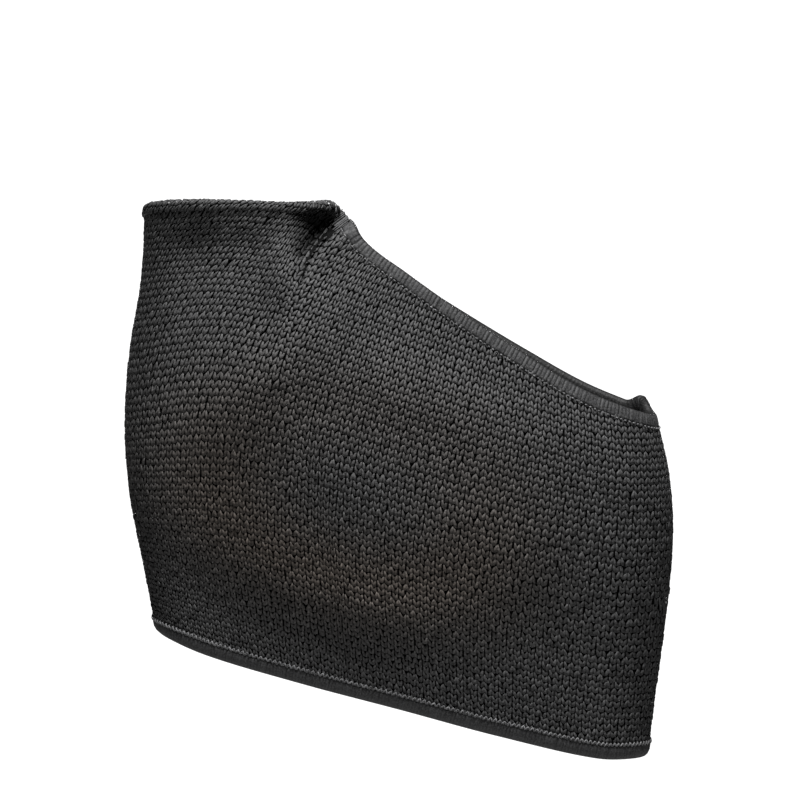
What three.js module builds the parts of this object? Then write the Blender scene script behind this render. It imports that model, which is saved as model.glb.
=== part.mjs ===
// A knitted elastic sleeve for a left forefoot: one tube with a big-toe tube, two overlocked hems and a
// gel cushion under the ball of the foot.
// Millimetres. +X points to the little toe, +Z to the toes and -Y out of the sole.

import * as THREE from 'three';

const { clamp, lerp, smoothstep, degToRad } = THREE.MathUtils;

// Driving dimensions
const WALL = 1.4; // knit thickness
const GAP = 0.3; // clearance between pieces that are sewn or laid together
const HEM_HEIGHT = 2.7; // width of the overlocked bands
const HEM_PROUD = 0.4; // how far the overlock thread stands off the knit on each side
const WELT_HEIGHT = 2.4; // rolled rim of the big-toe tube
const WELT_PROUD = 0.8;
const WELT_START = 0.25; // share of its half-round where the rim begins, 0 is flush
const SQUARENESS = 2.1; // superellipse power of the cross-sections along X: 2 is an ellipse
const FULLNESS = { sole: 2.6, instep: 3.2 }; // the same along Y: more is blunter at the sides of the foot

// The rings are not square to the sole: height gained for each millimetre towards the instep
const TILT_REAR = 0.1;
const TILT_TOE_TUBE = -0.12;
const TILT_LITTLE_TOE = 0.1;

// The tack joins sole and instep sides between the big toe and the second toe
const TACK_AT = 0.396; // share of the width, from the big-toe side
const TACK_HALF_WIDTH = 0.007; // of the narrow strip at the tack, as a share of the width
const TACK_GRIP = 0.84; // share of the depth that the tack takes away
const WEB_LENGTH = 4; // how far below the tack the two sides stay joined
const LEAN_REACH = 10; // the crease below the tack slants to the big-toe side by this much
const LEAN_DEPTH = 18;
const LEAN_ENDS_AT = 0.85; // share of the width where the slant has died away

// Creases below the tack: how far they run down, and how wide and blunt their flanks are on the side of the
// toe tube and on the side of the opening, whose lip folds over
const creases = {
  sole: { length: 15, toeReach: 18, toeBluntness: 0.5, lipReach: 11, lipBluntness: 0.8 },
  instep: { length: 13, toeReach: 17, toeBluntness: 0.5, lipReach: 14, lipBluntness: 0.8 },
};

// Gel cushion, an egg whose long axis slants down to the little-toe side
const PAD = { x: -8.2, z: 1.8, slant: degToRad(-17), halfLength: 40, toToes: 26, toHeel: 25, power: 2.4 };
const PAD_THICKNESS = 4.2;
const PAD_EDGE = 1;
const PAD_ROUNDING = 3; // power of the fall from the thickness to the edge
const PAD_MARGIN = 0.86; // share of the outline above that the cushion itself fills

// Bulge of the knit over the cushion, with its reach in shares of the cushion's outline
const BULGE = { rise: 1.6, flatTo: 0.68, endsAt: 1.15 };

// Swell of the knit over the ball of the big toe, and the fold at the root of that toe, below the rim
const BALL = { x: -25, z: 10, halfWidth: 16, toToes: 18, toHeel: 30, rise: 2.4 };
const FOLD = { deep: 2.7, below: 9.5, upReach: 5.5, downReach: 11 };
const FOLD_SPREAD = { fullFrom: 0.12, fadesFrom: 0.236, endsAt: 0.376 }; // in shares of the width

// Cross-sections from the rear edge (0) to the toe edge (1): x of the big-toe side and the little-toe side,
// then the depths towards the sole and towards the instep, each at the big-toe side, in the middle and at
// the little-toe side
const sections = [
  { at: 0.0, big: -44.4, little: 45.2, sole: [19, 20, 14.5], instep: [21, 30, 19] },
  { at: 0.17, big: -47.0, little: 46.5, sole: [17.3, 22.5, 15], instep: [21, 28, 18] },
  { at: 0.33, big: -49.4, little: 47.9, sole: [16.6, 23.6, 16.5], instep: [21, 25.5, 16.5] },
  { at: 0.5, big: -50.2, little: 49.2, sole: [16, 25, 18.5], instep: [20.5, 22.5, 15] },
  { at: 0.67, big: -49.2, little: 49.8, sole: [15.5, 25, 19.3], instep: [19.5, 19, 13] },
  { at: 0.83, big: -47.2, little: 49.0, sole: [15, 24.5, 19.6], instep: [18, 15.5, 11] },
  { at: 1.0, big: -46.5, little: 46.6, sole: [15, 20.3, 18.2], instep: [16.5, 12.5, 9.5] },
];

// Height of the toe edge across the width: the toe tube's level rim, the tack, then the slanted opening
const toeEdge = [
  { at: 0.0, z: 53.8 },
  { at: 0.16, z: 53.7 },
  { at: 0.33, z: 53.1 },
  { at: TACK_AT, z: 52.2 },
  { at: 0.43, z: 46.9 },
  { at: 0.51, z: 41.4 },
  { at: 0.63, z: 34.0 },
  { at: 0.75, z: 27.1 },
  { at: 0.87, z: 20.8 },
  { at: 1.0, z: 16.0 },
];

const rearEdge = [
  { at: 0.0, z: -24.0 },
  { at: 0.1, z: -26.8 },
  { at: 0.3, z: -31.2 },
  { at: 0.5, z: -35.8 },
  { at: 0.7, z: -41.1 },
  { at: 0.9, z: -45.9 },
  { at: 1.0, z: -46.6 },
];

// Profile of a hem band: h runs from its sewn side to its free edge, off is away from the knit's outer face
const HEM_FLAT = 0.6 * HEM_HEIGHT;
const HEM_SHOULDER = 0.92 * HEM_HEIGHT;
const hemProfile = [
  { h: 0, off: HEM_PROUD },
  { h: HEM_FLAT, off: HEM_PROUD },
  { h: HEM_SHOULDER, off: 0 },
  { h: HEM_HEIGHT, off: -WALL / 2 },
  { h: HEM_SHOULDER, off: -WALL },
  { h: HEM_FLAT, off: -WALL - HEM_PROUD },
  { h: 0, off: -WALL - HEM_PROUD },
];

// Mesh steps
const TOE_COLUMNS = 13;
const OPENING_COLUMNS = 18;
const ROWS = 24;
const ROW_CROWDING = 1.3; // rows crowd towards the toe edge
const PAD_RINGS = 6;
const PAD_SPOKES = 30;
const DIFFERENCE = 1e-3; // step for the surface's tangents
const SEARCH_TURNS = 60; // to find where a point of the sole lies on the knit
const SEARCH_STEP = 0.5; // share of each correction that is taken

// A table's value, picked from its rows and read at a place between them as a smooth cubic
function read(table, pick, at) {
  const last = table.length - 1;
  let row = 0;
  while (row < last - 1 && at > table[row + 1].at) row += 1;
  const slope = (k) => {
    const before = table[Math.max(k - 1, 0)];
    const after = table[Math.min(k + 1, last)];
    return (pick(after) - pick(before)) / (after.at - before.at);
  };
  const span = table[row + 1].at - table[row].at;
  const u = clamp((at - table[row].at) / span, 0, 1);
  const ease = u * u * (3 - 2 * u);
  const leave = u * (1 - u) * (1 - u) * span * slope(row);
  const arrive = u * u * (u - 1) * span * slope(row + 1);
  return lerp(pick(table[row]), pick(table[row + 1]), ease) + leave + arrive;
}

const toeHeight = (share) => read(toeEdge, (row) => row.z, share);
const rearHeight = (share) => read(rearEdge, (row) => row.z, share);
const columnLength = (share) => toeHeight(share) - rearHeight(share);
const bigSide = (t) => read(sections, (row) => row.big, t);
const littleSide = (t) => read(sections, (row) => row.little, t);

// Depth of a section towards one side of the foot, at a share of its width
function depth(side, share, t) {
  const steps = [0, 0.5, 1];
  const profile = steps.map((at, k) => ({ at, depth: read(sections, (row) => row[side][k], t) }));
  return read(profile, (row) => row.depth, share);
}

// How far the columns are pulled to the big-toe side below the tack
function lean(share, below) {
  const pull = LEAN_REACH * (below / LEAN_DEPTH) * Math.exp(1 - below / LEAN_DEPTH);
  const nearTack = share < TACK_AT
    ? smoothstep(share, 0, TACK_AT)
    : 1 - smoothstep(share, TACK_AT, LEAN_ENDS_AT);
  return pull * nearTack;
}

function across(share, t) {
  const below = (1 - t) * columnLength(TACK_AT);
  return lerp(bigSide(t), littleSide(t), share) - lean(share, below);
}

// Share of the depth left by the crease that runs down from the tack
function creased(side, share, t) {
  const crease = creases[side];
  const below = (1 - t) * columnLength(TACK_AT);
  const offset = across(share, t) - across(TACK_AT, t);
  const flank = offset < 0 ? 'toe' : 'lip';
  const strip = TACK_HALF_WIDTH * (littleSide(t) - bigSide(t));
  const q = clamp((Math.abs(offset) - strip) / crease[`${flank}Reach`], 0, 1);
  const valley = (q * (2 - q)) ** crease[`${flank}Bluntness`];
  const grip = TACK_GRIP * Math.exp(-((below / crease.length) ** 2));
  return 1 - grip * (1 - valley);
}

// 0 in the middle of the cushion, 1 on its outline
function padShare(x, z) {
  const along = (x - PAD.x) * Math.cos(PAD.slant) + (z - PAD.z) * Math.sin(PAD.slant);
  const up = (z - PAD.z) * Math.cos(PAD.slant) - (x - PAD.x) * Math.sin(PAD.slant);
  const reach = up > 0 ? PAD.toToes : PAD.toHeel;
  const sum = Math.abs(along / PAD.halfLength) ** PAD.power + Math.abs(up / reach) ** PAD.power;
  return sum ** (1 / PAD.power);
}

function ballSwell(x, z) {
  const reach = z > BALL.z ? BALL.toToes : BALL.toHeel;
  return BALL.rise * Math.exp(-(((x - BALL.x) / BALL.halfWidth) ** 2) - ((z - BALL.z) / reach) ** 2);
}

function toeFold(share, t) {
  const down = (1 - t) * columnLength(TACK_AT) - FOLD.below;
  const reach = down < 0 ? FOLD.upReach : FOLD.downReach;
  const { fullFrom, fadesFrom, endsAt } = FOLD_SPREAD;
  const full = smoothstep(share, 0, fullFrom) * (1 - smoothstep(share, fadesFrom, endsAt));
  return FOLD.deep * full * Math.exp(-((down / reach) ** 2));
}

// Share of the width at an angle round the section, and back
const shareAt = (phi) => {
  const c = Math.cos(phi);
  return (1 - Math.sign(c) * Math.abs(c) ** (2 / SQUARENESS)) / 2;
};
const phiAt = (share) => {
  const c = 1 - 2 * share;
  return Math.acos(Math.sign(c) * Math.abs(c) ** (SQUARENESS / 2));
};

// Outer face of the knit. theta goes round the foot: 0 is the big-toe side, then the sole, the little-toe
// side at PI and the instep. t goes from the rear edge to the toe edge.
function outerFace(theta, t) {
  const side = Math.sin(theta) >= 0 ? 'sole' : 'instep';
  const share = shareAt(theta);
  const x = across(share, t);
  const squareZ = lerp(rearHeight(share), toeHeight(share), t);
  const roundness = Math.abs(Math.sin(theta)) ** (2 / FULLNESS[side]);
  let y = roundness * depth(side, share, t) * creased(side, share, t);
  if (side === 'sole') {
    const bulge = BULGE.rise * (1 - smoothstep(padShare(x, squareZ), BULGE.flatTo, BULGE.endsAt));
    y = toeFold(share, t) - y - (bulge + ballSwell(x, squareZ)) * Math.min(1, 2 * roundness);
  }
  const tiltToe = lerp(TILT_TOE_TUBE, TILT_LITTLE_TOE, share);
  return new THREE.Vector3(x, y, squareZ + y * lerp(TILT_REAR, tiltToe, t));
}

function outward(theta, t) {
  const round = outerFace(theta + DIFFERENCE, t).sub(outerFace(theta - DIFFERENCE, t));
  const along = outerFace(theta, t + DIFFERENCE).sub(outerFace(theta, t - DIFFERENCE));
  return round.cross(along).normalize();
}

// A point a distance off the knit's outer face, negative towards the foot
const offFace = (theta, t, off) => outerFace(theta, t).addScaledVector(outward(theta, t), off);

function solidMesh(name, points, triangles, look) {
  const geometry = new THREE.BufferGeometry();
  geometry.setAttribute('position', new THREE.Float32BufferAttribute(points.flatMap((p) => p.toArray()), 3));
  geometry.setIndex(triangles.flat());
  geometry.computeVertexNormals();
  const mesh = new THREE.Mesh(geometry, new THREE.MeshStandardMaterial(look));
  mesh.name = name;
  return mesh;
}

const quad = (a, b, c, d) => [[a, b, c], [a, c, d]];

// Columns round the foot: crowded towards the sides and the tack, with one narrow cell at the tack itself
const tackBefore = phiAt(TACK_AT - TACK_HALF_WIDTH);
const tackAfter = phiAt(TACK_AT + TACK_HALF_WIDTH);
const toTack = (k) => tackBefore * Math.sin((Math.PI / 2) * (k / TOE_COLUMNS));
const fromTack = (k) => lerp(Math.PI, tackAfter, Math.sin((Math.PI / 2) * (1 - k / OPENING_COLUMNS)));
const solePhis = [
  ...Array.from({ length: TOE_COLUMNS + 1 }, (_, k) => toTack(k)),
  ...Array.from({ length: OPENING_COLUMNS + 1 }, (_, k) => fromTack(k)),
];
const lastSole = solePhis.length - 1;
const columns = [...solePhis, ...solePhis.slice(1, lastSole).reverse().map((phi) => 2 * Math.PI - phi)];
const mirrored = (k) => (columns.length - k) % columns.length;
const besideToe = TOE_COLUMNS; // last column of the toe tube on the sole side
const besideOpening = TOE_COLUMNS + 1;

// How far the rolled rim of the toe tube stands proud
function weltAt(share, t) {
  const fromRim = (1 - t) * columnLength(share);
  if (share > TACK_AT || fromRim > WELT_HEIGHT) return 0;
  return WELT_PROUD * Math.sin(Math.PI * lerp(WELT_START, 1, fromRim / WELT_HEIGHT));
}

function knitSleeve() {
  const points = [];
  const faces = [];
  const trim = HEM_HEIGHT + GAP;
  const shares = columns.map(shareAt);
  const rowShare = (j) => 1 - (1 - j / ROWS) ** ROW_CROWDING;
  const place = (k, j) => {
    const hemShare = trim / columnLength(shares[k]);
    return lerp(hemShare, shares[k] < TACK_AT ? 1 : 1 - hemShare, rowShare(j));
  };
  const outer = [];
  const inner = [];
  for (let j = 0; j <= ROWS; j += 1) {
    outer.push([]);
    inner.push([]);
    for (let k = 0; k < columns.length; k += 1) {
      const t = place(k, j);
      outer[j].push(points.push(offFace(columns[k], t, weltAt(shares[k], t))) - 1);
      inner[j].push(points.push(offFace(columns[k], t, -WALL)) - 1);
    }
  }
  let webRow = ROWS;
  while ((1 - place(besideToe, webRow - 1)) * columnLength(TACK_AT) < WEB_LENGTH) webRow -= 1;
  const isWeb = (k) => k === besideToe || k === mirrored(besideOpening);
  for (let k = 0; k < columns.length; k += 1) {
    const next = (k + 1) % columns.length;
    for (let j = 0; j < ROWS; j += 1) {
      faces.push(...quad(outer[j][k], outer[j][next], outer[j + 1][next], outer[j + 1][k]));
      if (isWeb(k) && j >= webRow) continue;
      faces.push(...quad(inner[j][next], inner[j][k], inner[j + 1][k], inner[j + 1][next]));
    }
    faces.push(...quad(outer[0][next], outer[0][k], inner[0][k], inner[0][next]));
    faces.push(...quad(outer[ROWS][k], outer[ROWS][next], inner[ROWS][next], inner[ROWS][k]));
  }
  // The web between the toes joins the inner faces of sole and instep
  const [toeSole, toeTop] = [besideToe, mirrored(besideToe)];
  const [openSole, openTop] = [besideOpening, mirrored(besideOpening)];
  for (let j = webRow; j < ROWS; j += 1) {
    faces.push(...quad(inner[j][toeTop], inner[j][toeSole], inner[j + 1][toeSole], inner[j + 1][toeTop]));
    faces.push(...quad(inner[j][openSole], inner[j][openTop], inner[j + 1][openTop], inner[j + 1][openSole]));
  }
  const [low, high] = [inner[webRow], inner[ROWS]];
  faces.push(...quad(low[toeSole], low[toeTop], low[openTop], low[openSole]));
  faces.push(...quad(high[toeSole], high[openSole], high[openTop], high[toeTop]));
  return solidMesh('knit_sleeve', points, faces, { color: 0x1b1b1c, roughness: 0.95, metalness: 0 });
}

// A band swept round an edge from column to column, with its profile standing on the edge
function hemBand(name, thetas, profile, placeAt, closed) {
  const points = [];
  const faces = [];
  const count = profile.length;
  for (const theta of thetas) {
    const length = columnLength(shareAt(theta));
    for (const { h, off } of profile) points.push(offFace(theta, placeAt(h, length), off));
  }
  const spans = closed ? thetas.length : thetas.length - 1;
  for (let k = 0; k < spans; k += 1) {
    const here = k * count;
    const there = ((k + 1) % thetas.length) * count;
    for (let p = 0; p < count; p += 1) {
      const q = (p + 1) % count;
      faces.push(...quad(here + p, there + p, there + q, here + q));
    }
  }
  if (!closed) {
    const end = (thetas.length - 1) * count;
    for (let p = 1; p < count - 1; p += 1) {
      faces.push([0, p, p + 1]);
      faces.push([end, end + p + 1, end + p]);
    }
  }
  return solidMesh(name, points, faces, { color: 0x161617, roughness: 0.9, metalness: 0 });
}

// Runs from the tack along the sole, round the little-toe side and back along the instep to the tack
function toeOpeningHem() {
  const first = besideOpening + 1;
  const thetas = columns.slice(first, mirrored(first) + 1);
  const placeAt = (h, length) => 1 - (HEM_HEIGHT - h) / length;
  return hemBand('toe_opening_hem', thetas, hemProfile, placeAt, false);
}

// Its free edge points the other way, so its profile is taken the other way round
function rearHem() {
  const placeAt = (h, length) => (HEM_HEIGHT - h) / length;
  return hemBand('rear_hem', columns, hemProfile.toReversed(), placeAt, true);
}

// Angle and place along the column of a point of the sole, found by turns
function placeOnSole(x, z) {
  let share = 0.5;
  let t = 0.5;
  for (let turn = 0; turn < SEARCH_TURNS; turn += 1) {
    t = clamp((z - rearHeight(share)) / columnLength(share), 0, 1);
    const below = (1 - t) * columnLength(TACK_AT);
    const wanted = (x + lean(share, below) - bigSide(t)) / (littleSide(t) - bigSide(t));
    share = lerp(share, clamp(wanted, 0, 1), SEARCH_STEP);
  }
  return [phiAt(share), t];
}

// A point of the cushion's outline, drawn in to a share of its size
function padOutline(turn, share) {
  const bent = (value) => Math.sign(value) * Math.abs(value) ** (2 / PAD.power);
  const along = share * PAD.halfLength * bent(Math.cos(turn));
  const up = share * (Math.sin(turn) > 0 ? PAD.toToes : PAD.toHeel) * bent(Math.sin(turn));
  return [
    PAD.x + along * Math.cos(PAD.slant) - up * Math.sin(PAD.slant),
    PAD.z + along * Math.sin(PAD.slant) + up * Math.cos(PAD.slant),
  ];
}

function gelPad() {
  const points = [];
  const faces = [];
  const sole = [];
  const foot = [];
  for (let r = 0; r <= PAD_RINGS; r += 1) {
    const thickness = lerp(PAD_THICKNESS, PAD_EDGE, (r / PAD_RINGS) ** PAD_ROUNDING);
    sole.push([]);
    foot.push([]);
    for (let k = 0; k < (r === 0 ? 1 : PAD_SPOKES); k += 1) {
      const spot = padOutline((2 * Math.PI * k) / PAD_SPOKES, PAD_MARGIN * (r / PAD_RINGS));
      const [theta, t] = placeOnSole(...spot);
      sole[r].push(points.push(offFace(theta, t, -WALL - GAP)) - 1);
      foot[r].push(points.push(offFace(theta, t, -WALL - GAP - thickness)) - 1);
    }
  }
  const [soleRim, footRim] = [sole[PAD_RINGS], foot[PAD_RINGS]];
  for (let k = 0; k < PAD_SPOKES; k += 1) {
    const next = (k + 1) % PAD_SPOKES;
    faces.push([sole[0][0], sole[1][k], sole[1][next]]);
    faces.push([foot[0][0], foot[1][next], foot[1][k]]);
    for (let r = 1; r < PAD_RINGS; r += 1) {
      faces.push(...quad(sole[r][k], sole[r + 1][k], sole[r + 1][next], sole[r][next]));
      faces.push(...quad(foot[r][next], foot[r + 1][next], foot[r + 1][k], foot[r][k]));
    }
    faces.push(...quad(soleRim[next], soleRim[k], footRim[k], footRim[next]));
  }
  return solidMesh('gel_pad', points, faces, { color: 0xd9b48c, roughness: 0.35, metalness: 0 });
}

const metatarsalSleeve = new THREE.Group();
metatarsalSleeve.add(knitSleeve(), toeOpeningHem(), rearHem(), gelPad());

export default metatarsalSleeve;
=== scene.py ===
# %% [markdown]
# A metatarsal pad is a short elastic sleeve with a cushion in its sole side. It is knitted as one wide
# tube, with a narrow tube at one corner, a slanted opening beside that, and two hems. This lesson dresses
# the plain solids of the part: they stay in the file as a hidden frame, and each one gets a finer
# piece that stands for it. The solids could be modelled again by hand, but loading them keeps every size
# as it was designed.

import math

import bpy
import numpy as np
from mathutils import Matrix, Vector


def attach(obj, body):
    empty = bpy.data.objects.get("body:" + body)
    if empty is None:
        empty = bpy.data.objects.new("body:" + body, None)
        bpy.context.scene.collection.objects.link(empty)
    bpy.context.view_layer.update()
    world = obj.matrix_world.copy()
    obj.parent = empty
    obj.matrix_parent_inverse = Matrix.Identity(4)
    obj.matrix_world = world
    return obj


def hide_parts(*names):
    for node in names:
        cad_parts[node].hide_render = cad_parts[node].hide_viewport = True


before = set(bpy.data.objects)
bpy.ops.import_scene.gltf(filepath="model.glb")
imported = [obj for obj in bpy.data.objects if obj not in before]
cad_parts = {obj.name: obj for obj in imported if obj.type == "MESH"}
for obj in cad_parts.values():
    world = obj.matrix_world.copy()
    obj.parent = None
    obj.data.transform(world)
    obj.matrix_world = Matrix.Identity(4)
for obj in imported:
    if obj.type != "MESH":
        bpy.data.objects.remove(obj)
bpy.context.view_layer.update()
MM = 0.001
print("frame nodes:", sorted(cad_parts))

# %% [markdown]
# Everything on the sleeve follows one surface, so the surface comes first. It could be sculpted, but a
# function of two numbers is easier to knit on: theta goes round the sleeve, and t goes from the rear edge
# at 0 to the front edge at 1. The tables hold the sizes of the solid part in millimetres, a little finer
# near the tack, and are read as smooth curves through their rows.

# %% Tables of the sleeve's form
SECTIONS = {
    "at": [0.0, 0.17, 0.33, 0.5, 0.67, 0.83, 1.0],
    "big": [-44.4, -47.0, -49.4, -50.2, -49.2, -47.2, -46.5],
    "little": [45.2, 46.5, 47.9, 49.2, 49.8, 49.0, 46.6],
    "sole_big": [19, 17.3, 16.6, 16, 15.5, 15, 15],
    "sole_mid": [20, 22.5, 23.6, 25, 25, 24.5, 20.3],
    "sole_little": [14.5, 15, 16.5, 18.5, 19.3, 19.6, 18.2],
    "instep_big": [21, 21, 21, 20.5, 19.5, 18, 16.5],
    "instep_mid": [30, 28, 25.5, 22.5, 19, 15.5, 12.5],
    "instep_little": [19, 18, 16.5, 15, 13, 11, 9.5],
}
TACK_AT = 0.396
TOE_EDGE = {
    "at": [0.0, 0.16, 0.33, 0.37, TACK_AT, 0.43, 0.51, 0.63, 0.75, 0.87, 1.0],
    "z": [53.8, 53.7, 53.7, 53.9, 52.2, 46.9, 41.4, 34.0, 27.1, 20.8, 16.0],
}
REAR_EDGE = {
    "at": [0.0, 0.1, 0.3, 0.5, 0.7, 0.9, 1.0],
    "z": [-24.0, -26.8, -31.2, -35.8, -41.1, -45.9, -46.6],
}
print("slices in the table:", len(SECTIONS["at"]))


# %% Reading the tables
def lerp(a, b, share):
    return a + (b - a) * share


def ease(value, low, high):
    """From 0 at low to 1 at high, level at both ends."""
    u = np.clip((value - low) / (high - low), 0, 1)
    return u * u * (3 - 2 * u)


def read(table, column, at):
    """Value of a column at any place, on a smooth curve through the table's rows."""
    places = np.array(table["at"], float)
    values = np.array(table[column], float)
    before = np.concatenate([[0], np.arange(len(places) - 1)])
    after = np.concatenate([np.arange(1, len(places)), [len(places) - 1]])
    slopes = (values[after] - values[before]) / (places[after] - places[before])
    row = np.clip(np.searchsorted(places, at, side="left") - 1, 0, len(places) - 2)
    span = places[row + 1] - places[row]
    u = np.clip((at - places[row]) / span, 0, 1)
    blend = u * u * (3 - 2 * u)
    leave = u * (1 - u) ** 2 * span * slopes[row]
    arrive = u * u * (u - 1) * span * slopes[row + 1]
    return values[row] + (values[row + 1] - values[row]) * blend + leave + arrive


def column_length(share):
    """Millimetres from the rear edge to the front edge at a share of the width."""
    return read(TOE_EDGE, "z", share) - read(REAR_EDGE, "z", share)


TACK_LENGTH = float(column_length(np.array(TACK_AT)))
print("knit from rear edge to tack, in mm:", round(TACK_LENGTH, 1))

# %% [markdown]
# A slice through the sleeve is a rounded box, wider than it is deep. Curves lofted in Blender would give it,
# but here each point must also know its share of the width, because the knit counts from there. A
# superellipse does both: it is an ellipse whose power is more than two. Near the tack the cloth is
# pulled sideways, so the points of a slice lean to one side below it.

# %% Slices of the sleeve
SQUARENESS = 2.1
LEAN = {"reach": 10, "depth": 18, "ends": 0.85}
WIDEST_T = 0.45


def share_at(theta):
    c = np.cos(theta)
    return (1 - np.sign(c) * np.abs(c) ** (2 / SQUARENESS)) / 2


def theta_at(share):
    c = 1 - 2 * share
    return np.arccos(np.sign(c) * np.abs(c) ** (SQUARENESS / 2))


def lean(share, below):
    pull = LEAN["reach"] * (below / LEAN["depth"]) * np.exp(1 - below / LEAN["depth"])
    near = np.where(share < TACK_AT, ease(share, 0, TACK_AT), 1 - ease(share, TACK_AT, LEAN["ends"]))
    return pull * near


def across(share, t):
    big = read(SECTIONS, "big", t)
    return lerp(big, read(SECTIONS, "little", t), share) - lean(share, (1 - t) * TACK_LENGTH)


def depth(side, share, t):
    """Depth of one side, on a smooth curve through its three columns of the table."""
    big = read(SECTIONS, side + "_big", t)
    middle = read(SECTIONS, side + "_mid", t)
    little = read(SECTIONS, side + "_little", t)
    toward = np.where(share < 0.5, 2 * share, 2 * share - 1)
    first = np.where(share < 0.5, big, middle)
    last = np.where(share < 0.5, middle, little)
    span = 0.5
    slope_first = np.where(share < 0.5, (middle - big) / span, little - big)
    slope_last = np.where(share < 0.5, little - big, (little - middle) / span)
    leave = toward * (1 - toward) ** 2 * span * slope_first
    arrive = toward**2 * (toward - 1) * span * slope_last
    return first + (last - first) * toward**2 * (3 - 2 * toward) + leave + arrive


widest = across(np.array([0.0, 1.0]), np.full(2, WIDEST_T))
print("widest slice, in mm:", round(float(widest[1] - widest[0]), 1))

# %% [markdown]
# On the real sleeve a tack sews the two sides together beside the narrow tube, and the cloth below it lies
# in a crease with a long slope on one hand and a steep lip on the other. It could be pushed in with a
# sculpting brush. As a share of the depth that is taken away it stays exact, and it fades out by itself
# at its lower end.

# %% Crease below the tack
TACK = {"strip": 0.007, "grip": 0.84}
CREASE = {
    "sole": {"length": 14.0, "power": 1.6, "toe": 11.0, "toe_power": 0.85, "lip": 1.5, "lip_power": 0.5},
    "instep": {"length": 13, "power": 0.9, "toe": 17, "toe_power": 0.5, "lip": 14, "lip_power": 0.8},
}
CREASE_FADE = {"least": 0.02, "gain": 1.1, "narrowest": 0.3, "taper": 0.7}


def from_crease(share, t):
    """Millimetres across from the crease's line, less than 0 on the narrow tube's hand."""
    return across(share, t) - across(np.full_like(share, TACK_AT), t)


def creased(side, share, t):
    """Share of the depth that the crease leaves."""
    crease = CREASE[side]
    offset = from_crease(share, t)
    strip = TACK["strip"] * (read(SECTIONS, "little", t) - read(SECTIONS, "big", t))
    fade = np.clip(1 - (1 - t) * TACK_LENGTH / crease["length"], CREASE_FADE["least"], 1)
    reach = np.where(offset < 0, crease["toe"], crease["lip"])
    reach = reach * np.maximum(fade, CREASE_FADE["narrowest"]) ** CREASE_FADE["taper"]
    power = np.where(offset < 0, crease["toe_power"], crease["lip_power"])
    q = np.clip((np.abs(offset) - strip) / reach, 0, 1)
    valley = (q * (2 - q)) ** power
    pull = np.clip(CREASE_FADE["gain"] * (fade - CREASE_FADE["least"]), 0, 1) ** crease["power"]
    return 1 - TACK["grip"] * pull * (1 - valley)


left = creased("sole", np.array(TACK_AT), np.array(1.0))
print("share of the depth left at the tack:", round(float(left), 2))

# %% [markdown]
# Four low shapes catch the light on the sole side. The cushion lifts an egg-shaped bulge, and beside it the
# cloth is full where it is stretched most. A soft ridge of tension runs from the tack to the side, and a
# fold lies below the rim of the narrow tube. Paint or bump could hint at them, but their shading would be
# wrong from other angles, so they are heights that the surface adds up.

# %% Swells, ridge and fold
PAD = {"x": -8.2, "z": 1.8, "slant": math.radians(-17), "half": 40, "toes": 26, "heel": 25, "power": 2.4}
BULGE = {"rise": 1.6, "flat": 0.68, "ends": 1.15}
BALL = {"x": -25.0, "z": 10.0, "wide": 16.0, "toes": 18.0, "heel": 30.0, "rise": 2.4}
TENSION = {"from": (-5.0, 41.0), "to": (-39.0, 9.0), "rise": 1.6, "wide": 6.0}
TENSION_FADE = {"in": (-0.1, 0.25), "out": (0.5, 1.1)}
TOE_FOLD = {"deep": 3.0, "below": 9.5, "above": 5.5, "wide": 11.0, "ends": 0.12, "by_tack": 0.01}


def pad_share(x, z):
    """0 at the cushion's middle, 1 on its outline."""
    c, s = math.cos(PAD["slant"]), math.sin(PAD["slant"])
    along = (x - PAD["x"]) * c + (z - PAD["z"]) * s
    up = (z - PAD["z"]) * c - (x - PAD["x"]) * s
    reach = np.where(up > 0, PAD["toes"], PAD["heel"])
    total = np.abs(along / PAD["half"]) ** PAD["power"] + np.abs(up / reach) ** PAD["power"]
    return total ** (1 / PAD["power"])


def cushion_bulge(x, z):
    return BULGE["rise"] * (1 - ease(pad_share(x, z), BULGE["flat"], BULGE["ends"]))


def ball(x, z):
    tall = np.where(z > BALL["z"], BALL["toes"], BALL["heel"])
    sideways = ((x - BALL["x"]) / BALL["wide"]) ** 2
    return BALL["rise"] * np.exp(-sideways - ((z - BALL["z"]) / tall) ** 2)


def tension(x, z):
    start, end = np.array(TENSION["from"]), np.array(TENSION["to"])
    length = np.linalg.norm(end - start)
    along = (end - start) / length
    run = ((x - start[0]) * along[0] + (z - start[1]) * along[1]) / length
    off = (x - start[0]) * along[1] - (z - start[1]) * along[0]
    fade = ease(run, *TENSION_FADE["in"]) * (1 - ease(run, *TENSION_FADE["out"]))
    return TENSION["rise"] * fade * np.exp(-((off / TENSION["wide"]) ** 2))


def toe_fold(share, t):
    below = (1 - t) * TACK_LENGTH
    wide = np.where(below < TOE_FOLD["below"], TOE_FOLD["above"], TOE_FOLD["wide"])
    fold = TOE_FOLD["deep"] * np.exp(-(((below - TOE_FOLD["below"]) / wide) ** 2))
    by_tack = ease(share, TACK_AT - TOE_FOLD["ends"], TACK_AT - TOE_FOLD["by_tack"])
    return fold * (1 - by_tack) * ease(share, 0, TOE_FOLD["ends"])


print("cushion's bulge and ridge, in mm:", BULGE["rise"], TENSION["rise"])

# %% [markdown]
# Now the surface itself: the worn form of the outer face. A lattice or a curve modifier could bend a
# plain tube into it, but with one function every later piece can ask for a point and for the direction
# that leads out of the cloth there, and so lie on it without gaps.

# %% The surface of the sleeve
FULLNESS = {"sole": 2.6, "instep": 3.2}
INSTEP_LIFT = {"rise": 2.0, "full": 0.02, "gone": 0.055}
TILT = {"rear": 0.1, "toe_tube": -0.12, "little_toe": 0.1}
SWELL_FADES = 2
STEP = 1e-3
RING_STEPS = 720


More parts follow.
